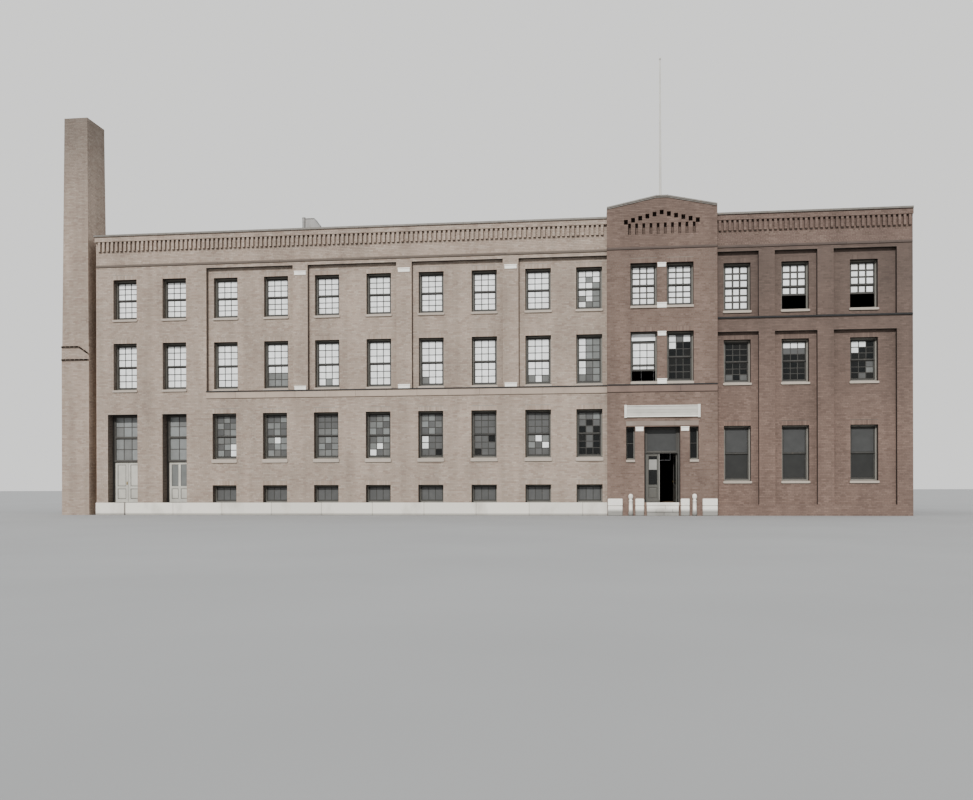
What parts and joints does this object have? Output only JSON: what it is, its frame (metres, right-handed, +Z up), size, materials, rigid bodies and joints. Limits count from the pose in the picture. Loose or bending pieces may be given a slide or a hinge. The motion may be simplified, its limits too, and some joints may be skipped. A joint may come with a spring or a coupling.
{
  "type": "brick factory building",
  "caption": "Long brick factory building with a pedimented entrance pavilion, a side wing, sash windows, hinged doors and a square stack at its end.",
  "frame": {"origin": "middle of the bounding box's floor, at the level of the lowest ground", "axes": "+X along the front to the viewer's right, -Y out of the front, +Z up"},
  "size_m": [39.7, 12.62, 21],
  "materials": {
    "left_brick": "weathered common brick",
    "pavilion_brick": "pressed brick",
    "wing_brick": "dark pressed brick",
    "light_stone": "dressed limestone",
    "coping_metal": "dull painted sheet metal",
    "window_paint": "weathered paint on wood",
    "door_frame_paint": "weathered paint on wood",
    "pale_door_paint": "pale paint on wood",
    "entrance_paint": "worn paint on wood",
    "window_glass": "old sheet glass",
    "sign_paint": "bare pale painted board",
    "hinge_iron": "dark iron",
    "floor_concrete": "worn concrete",
    "floor_boards": "worn boards",
    "roof_felt": "tar and gravel",
    "pole_paint": "painted wood"
  },
  "bodies": {
    "building": {"back_parapet": "left_brick", "back_wall": "left_brick", "basement_floor": "floor_concrete", "basement_windows": "window_paint", "door_hinges": "hinge_iron", "door_jambs": "door_frame_paint", "door_side_walls": "left_brick", "door_transoms": "door_frame_paint", "doorstep": "light_stone", "end_copings": "coping_metal", "end_parapets": "left_brick", "end_stone_base": "light_stone", "flagpole": "pole_paint", "flue_link": "left_brick", "front_parapets": "left_brick", "ground_floors": "floor_boards", "ground_windows": "window_paint", "guard_posts": "light_stone", "left_end_wall": "left_brick", "left_ground_wall": "left_brick", "left_upper_wall": "left_brick", "long_copings": "coping_metal", "pavilion_base": "pavilion_brick", "pavilion_side_walls": "pavilion_brick", "pavilion_upper_wall": "pavilion_brick", "pediment": "pavilion_brick", "pediment_coping": "coping_metal", "rear_windows": "window_paint", "right_front_wall": "wing_brick", "right_party_wall": "wing_brick", "roof_deck": "roof_felt", "roof_vent": "coping_metal", "second_windows": "window_paint", "signboard": "sign_paint", "stack_base": "left_brick", "stack_shaft": "left_brick", "stone_base": "light_stone", "stone_blocks": "light_stone", "stone_courses": "light_stone", "third_windows": "window_paint", "transom_glass": "window_glass", "upper_floors": "floor_boards", "window_glass": "window_glass", "window_sills": "light_stone"},
    "double_left_leaf": {"double_door_left_leaf": "pale_door_paint"},
    "double_right_leaf": {"double_door_right_leaf": "pale_door_paint"},
    "single_leaf": {"single_door_leaf": "pale_door_paint", "single_door_glass": "window_glass"},
    "entrance_narrow_leaf": {"entrance_left_leaf": "entrance_paint", "entrance_left_glass": "window_glass"},
    "entrance_wide_leaf": {"entrance_right_leaf": "entrance_paint", "entrance_right_glass": "window_glass"}
  },
  "joints": [
    {"name": "double_left_swing", "type": "hinge", "parent": "building", "child": "double_left_leaf", "pos_m": [-17.381, -5.136, 0.6], "axis": [0, 0, 1], "range_deg": [0, 90]},
    {"name": "double_right_swing", "type": "hinge", "parent": "building", "child": "double_right_leaf", "pos_m": [-16.049, -5.136, 0.6], "axis": [0, 0, -1], "range_deg": [0, 90]},
    {"name": "single_swing", "type": "hinge", "parent": "building", "child": "single_leaf", "pos_m": [-14.601, -5.136, 0.6], "axis": [0, 0, 1], "range_deg": [0, 90]},
    {"name": "entrance_narrow_swing", "type": "hinge", "parent": "building", "child": "entrance_narrow_leaf", "pos_m": [8.304, -5.486, 0.6], "axis": [0, 0, 1], "range_deg": [0, 85]},
    {"name": "entrance_wide_swing", "type": "hinge", "parent": "building", "child": "entrance_wide_leaf", "pos_m": [9.716, -5.486, 0.6], "axis": [0, 0, -1], "range_deg": [-85, 0]}
  ]
}
